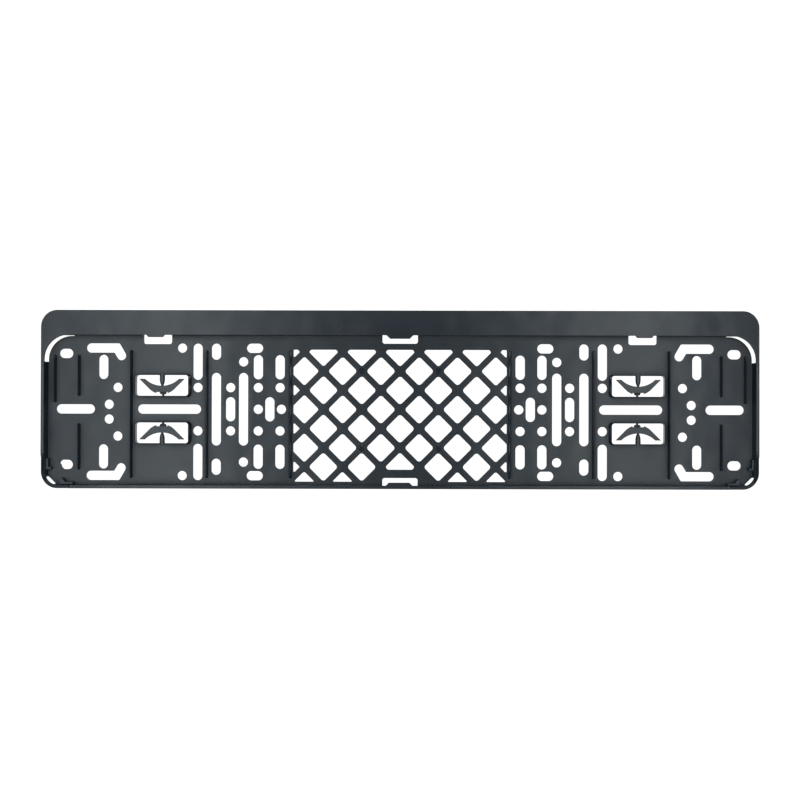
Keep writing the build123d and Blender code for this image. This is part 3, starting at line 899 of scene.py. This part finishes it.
def web_slit():
    """Cutter behind a web: the slit between base and walls, and the port through the side wall."""
    head = WEB_FOOT + WEB_PORT
    outside = OUTER_HALF + CUTTER_PAST
    inside = POCKET_HALF - WEB_SIDE_GAP
    corner = (POCKET_HALF - POCKET_RADIUS, POCKET_TOP - POCKET_RADIUS)
    port_turn = np.degrees(np.arcsin((head - corner[1]) / POCKET_RADIUS))
    outline = np.concatenate([
        [(inside, WEB_FOOT), (outside, WEB_FOOT), (outside, head)],
        arc(corner, POCKET_RADIUS, port_turn, 90, 10),
        [(WEB_X - WEB_TAIL, POCKET_TOP), (WEB_X - WEB_TAIL, POCKET_TOP - WEB_GAP)],
        arc((inside - WEB_RADIUS + WEB_GAP, WEB_Z), WEB_RADIUS - WEB_GAP, 90, 0, 20),
    ])
    return plate(outline, CUTTER_BACK, LIP_BACK, CUTTER_ROUND)


def side_hook():
    """Outline of the hook beside the end wall: an arm up the wall, with a foot at its lower end."""
    t = HOOK_THICKNESS
    x = POCKET_HALF - SIDE_HOOK_GAP
    z = OUTER_BOTTOM + SIDE_HOOK_RISE
    top = z + SIDE_HOOK_LENGTH
    foot = x - SIDE_HOOK_FOOT
    return [(foot, z), (x, z), (x, top), (x - t, top), (x - t, z + t), (foot, z + t)]


def low_hook():
    """Outline of the hook at the foot wall: an arm along the wall, with a foot and a gusset at its end."""
    t = HOOK_THICKNESS
    x = OUTER_HALF - LOW_HOOK_INSET
    z = POCKET_BOTTOM + LOW_HOOK_GAP
    end = x - LOW_HOOK_LENGTH
    foot = z + LOW_HOOK_FOOT
    return [(end, z), (x, z), (x, foot), (x - t, foot), (x - t - LOW_HOOK_GUSSET, z + t), (end, z + t)]


def hooks():
    """Two hooks in each bottom corner."""
    outlines = [rounded(corners, HOOK_ROUND, 3) for corners in (side_hook(), low_hook())]
    pieces = [plate(outline, BASE - SEAT, BASE + HOOK_HEIGHT) for outline in outlines]
    return [copy for piece in pieces for copy in on_both_sides(piece)]


def drain_slot():
    """Cutter for the drain slot across a bottom corner, open to the outside behind the rim's strip."""
    turn = np.radians(DRAIN_TURN)
    along = np.array([np.cos(turn), np.sin(turn)])
    out = np.array([np.sin(turn), -np.cos(turn)])
    corner = np.array([OUTER_HALF - OUTER_RADIUS, OUTER_BOTTOM + OUTER_RADIUS])
    inner = corner + out * DRAIN_INNER
    outer = corner + out * (OUTER_RADIUS + FOOT_WALL)
    reach = along * DRAIN_HALF
    outline = np.array([inner - reach, outer - reach, outer + reach, inner + reach])
    return plate(outline, CUTTER_BACK, DRAIN_ROOF, CUTTER_ROUND)


def gate_mark():
    """A low ring on a crossing of the lattice: a circle that carries a step up, a narrow flat and a dip."""
    shell = Shell()
    outline = circle(LATTICE_PITCH, LATTICE_PITCH, GATE_RADIUS, 24)
    shell.closed_sweep(outline, [(out, BASE + up) for out, up in GATE_PROFILE])
    return shell


# Joining


def mesh_object(name, shells):
    """One object from closed shells that don't meet."""
    first = 0
    faces = []
    for shell in shells:
        for block in shell.faces:
            faces += (block + first).tolist()
        first += len(shell.points)
    mesh = bpy.data.meshes.new(name)
    mesh.from_pydata((np.concatenate([shell.points for shell in shells]) * MM).tolist(), [], faces)
    made = bpy.data.objects.new(name, mesh)
    bpy.context.scene.collection.objects.link(made)
    return made


def combine(body, shells, operation):
    """Joins shells to the body or cuts them out of it, exactly where their surfaces cross."""
    tool = mesh_object("tool", shells)
    modifier = body.modifiers.new(operation, "BOOLEAN")
    modifier.operation = operation
    modifier.solver = "MANIFOLD"
    modifier.object = tool
    result = bpy.data.meshes.new_from_object(body.evaluated_get(bpy.context.evaluated_depsgraph_get()))
    result.name = body.name
    body.modifiers.clear()
    body.data = result
    bpy.data.objects.remove(tool)


def moulding(material):
    """The whole holder as one closed surface.

    Fins and hubs are joined after the rest, because they cross what is joined before them.
    """
    body = mesh_object("moulded_holder", [tray()])
    cutters = [lip_window(*row) for row in LIP_WINDOWS]
    cutters += on_both_sides(web_slit()) + on_both_sides(drain_slot()) + in_all_corners(collar_gap())
    standing = ribs() + bar_ribs() + [lip(*row) for row in LIPS] + on_both_sides(web()) + hooks()
    standing += in_all_corners(gate_mark()) + in_all_corners(wing()) + in_all_corners(stem())
    combine(body, cutters, "DIFFERENCE")
    for shells in (standing, in_all_corners(fin()), in_all_corners(hub())):
        combine(body, shells, "UNION")
    body.data.materials.clear()
    body.data.materials.append(material)
    body.data.shade_smooth()
    body.data.set_sharp_from_angle(angle=np.radians(SHARP_TURN))
    normals = body.modifiers.new("flat_faces_stay_flat", "WEIGHTED_NORMAL")
    normals.weight = FLAT_FACE_WEIGHT
    normals.keep_sharp = True
    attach(body, "root")
    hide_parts("plate_holder")


# Looks


def black_polypropylene():
    """Black polypropylene, injection moulded: deep blue-black, with a satin skin that spreads highlights.

    Its sheen is matched to the photograph: a little duller on the pocket's floor than on the rim and
    bar, duller again in the corners beside walls and ribs, and cloudy and streaky over a few centimetres.
    Its skin is faintly wavy, under a fine grain.
    """
    material = bpy.data.materials.new("black_polypropylene_moulded")
    material.use_nodes = True
    tree = material.node_tree
    tree.nodes.clear()
    place = {"Vector": node(tree, "ShaderNodeTexCoord").outputs["Object"]}
    depth = node(tree, "ShaderNodeSeparateXYZ", links=place)
    level = node(tree, "ShaderNodeMapRange", {
        "From Min": -RIM_DEPTH * MM, "From Max": -FLOOR_DEPTH * MM,
        "To Min": RIM_ROUGHNESS, "To Max": FLOOR_ROUGHNESS,
    }, {"Value": depth.outputs["Y"]})
    # Duller clouds, and duller streaks along the holder
    clouds = node(tree, "ShaderNodeTexNoise", {"Scale": 1 / (CLOUD_SIZE * MM), "Detail": 2.0}, place)
    stretch = node(tree, "ShaderNodeMapping", {"Scale": tuple(1 / (STREAK_SIZE * MM))}, place)
    streaks = node(tree, "ShaderNodeTexNoise", {"Scale": 1.0, "Detail": 1.0}, {
        "Vector": stretch.outputs["Vector"],
    })
    sheen = level
    for pattern, share in ((clouds, CLOUD_SHARE), (streaks, STREAK_SHARE)):
        dull = node(tree, "ShaderNodeMapRange", {**NOISE_RANGE, "To Max": share}, {
            "Value": pattern.outputs[0],
        })
        sheen = node(tree, "ShaderNodeMix", {"B": CLOUD_ROUGHNESS}, {
            "Factor": dull.outputs[0], "A": sheen.outputs[0],
        })
    # Inner corners, where other faces stand within a few millimetres
    corners = node(tree, "ShaderNodeAmbientOcclusion", {"samples": 6, "Distance": CORNER_REACH * MM})
    closed = node(tree, "ShaderNodeMapRange", {
        "From Min": CORNER_CLOSED, "From Max": CORNER_OPEN, "To Min": CORNER_SHARE, "To Max": 0.0,
    }, {"Value": corners.outputs["AO"]})
    dulled = node(tree, "ShaderNodeMix", {"B": CORNER_ROUGHNESS}, {
        "Factor": closed.outputs[0], "A": sheen.outputs[0],
    })
    # The skin's waves are drawn as wide and as high as the photograph's highlights suggest
    waves = node(tree, "ShaderNodeTexNoise", {"Scale": 1 / (WAVE_SIZE * MM), "Detail": 0.0}, place)
    wavy = node(tree, "ShaderNodeBump", {"Strength": 1.0, "Distance": WAVE_HEIGHT * MM}, {
        "Height": waves.outputs[0],
    })
    # The real grain is taken as about 0.15 mm. It is drawn 1.1 mm wide, or it would be lost between pixels.
    grain = node(tree, "ShaderNodeTexNoise", {"Scale": 1 / (GRAIN_SIZE * MM), "Detail": 2.0}, place)
    relief = node(tree, "ShaderNodeBump", {"Strength": GRAIN_STRENGTH, "Distance": GRAIN_HEIGHT * MM}, {
        "Height": grain.outputs[0], "Normal": wavy.outputs["Normal"],
    })
    skin = node(tree, "ShaderNodeBsdfPrincipled", {
        "Base Color": linear(PLASTIC_COLOUR), "IOR": PLASTIC_IOR,
    }, {"Roughness": dulled.outputs[0], "Normal": relief.outputs["Normal"]})
    node(tree, "ShaderNodeOutputMaterial", links={"Surface": skin.outputs["BSDF"]})
    return material


def shown_white(tree, lit):
    """A shader that the camera sees as plain white, while everything else meets the lit one."""
    ray = node(tree, "ShaderNodeLightPath")
    white = node(tree, "ShaderNodeEmission", {"Color": linear(WHITE), "Strength": SHOWN_WHITE})
    mix = node(tree, "ShaderNodeMixShader", links={
        0: ray.outputs["Is Camera Ray"], 1: lit.outputs[0], 2: white.outputs[0],
    })
    return {"Surface": mix.outputs[0]}


def paper_floor():
    """A wide white floor, which the camera sees as plain white."""
    material = bpy.data.materials.new("white_paper")
    material.use_nodes = True
    tree = material.node_tree
    tree.nodes.clear()
    paper = node(tree, "ShaderNodeBsdfDiffuse", {"Color": linear(PAPER_COLOUR), "Roughness": PAPER_ROUGHNESS})
    node(tree, "ShaderNodeOutputMaterial", links=shown_white(tree, paper))
    mesh = bpy.data.meshes.new("floor")
    corners = np.array([(-1, -1, 0), (1, -1, 0), (1, 1, 0), (-1, 1, 0)])
    mesh.from_pydata((PAPER_HALF_WIDTH * corners + (0, 0, PAPER_LEVEL)).tolist(), [], [(0, 1, 2, 3)])
    mesh.materials.append(material)
    floor = bpy.data.objects.new("floor", mesh)
    bpy.context.scene.collection.objects.link(floor)


def soft_box(name, place, aim, size, radiance):
    """A rectangular lamp at a place, turned to face an aim. Its power is pi times its area and radiance."""
    lamp = bpy.data.lights.new(name, "AREA")
    lamp.shape = "RECTANGLE"
    lamp.size, lamp.size_y = size
    lamp.energy = np.pi * size[0] * size[1] * radiance
    lamp.color = LAMP_TINT
    lamp_object = bpy.data.objects.new(name, lamp)
    lamp_object.location = place
    lamp_object.rotation_euler = (Vector(aim) - Vector(place)).to_track_quat("-Z", "Y").to_euler()
    lamp_object.visible_camera = False
    bpy.context.scene.collection.objects.link(lamp_object)


def studio():
    """A dim world, and lamps that the camera doesn't see.

    A row of tall ones stands just behind the camera: a strip at each side of it, weak fills beside the
    strips, and strong ones out at the sides. A panel faces the holder from behind, and a lamp above faces
    the floor. One more lamp faces each end of the holder, and one each of its back corners.
    """
    world = bpy.data.worlds.new("white_studio")
    world.use_nodes = True
    tree = world.node_tree
    tree.nodes.clear()
    around = node(tree, "ShaderNodeBackground", {"Color": linear(WHITE), "Strength": WORLD_STRENGTH})
    node(tree, "ShaderNodeOutputWorld", links=shown_white(tree, around))
    bpy.context.scene.world = world
    bpy.context.scene.view_settings.view_transform = "Standard"
    for name, x, width, radiance in TALL_LAMPS:
        soft_box(name, (x, TALL_LAMP_Y, 0.0), (x, 0.0, 0.0), (width, TALL_LAMP_HEIGHT), radiance)
    for lamp in OTHER_LAMPS:
        soft_box(*lamp)


def photograph_camera():
    """The camera in the photograph's place: in front of the holder, and nearly straight on."""
    lens = bpy.data.cameras.new("camera")
    lens.lens = CAMERA_LENS
    lens.sensor_width = CAMERA_SENSOR
    lens.shift_x, lens.shift_y = CAMERA_SHIFT
    camera = bpy.data.objects.new("camera", lens)
    camera.location = CAMERA_PLACE
    pitch = np.arctan2(CAMERA_UP, CAMERA_AHEAD)
    yaw = np.arctan2(CAMERA_LEFT, CAMERA_AHEAD)
    camera.rotation_euler = Euler((np.pi / 2 + pitch, np.radians(CAMERA_ROLL), yaw))
    bpy.context.scene.collection.objects.link(camera)
    bpy.context.scene.camera = camera


moulding(black_polypropylene())
paper_floor()
studio()
photograph_camera()
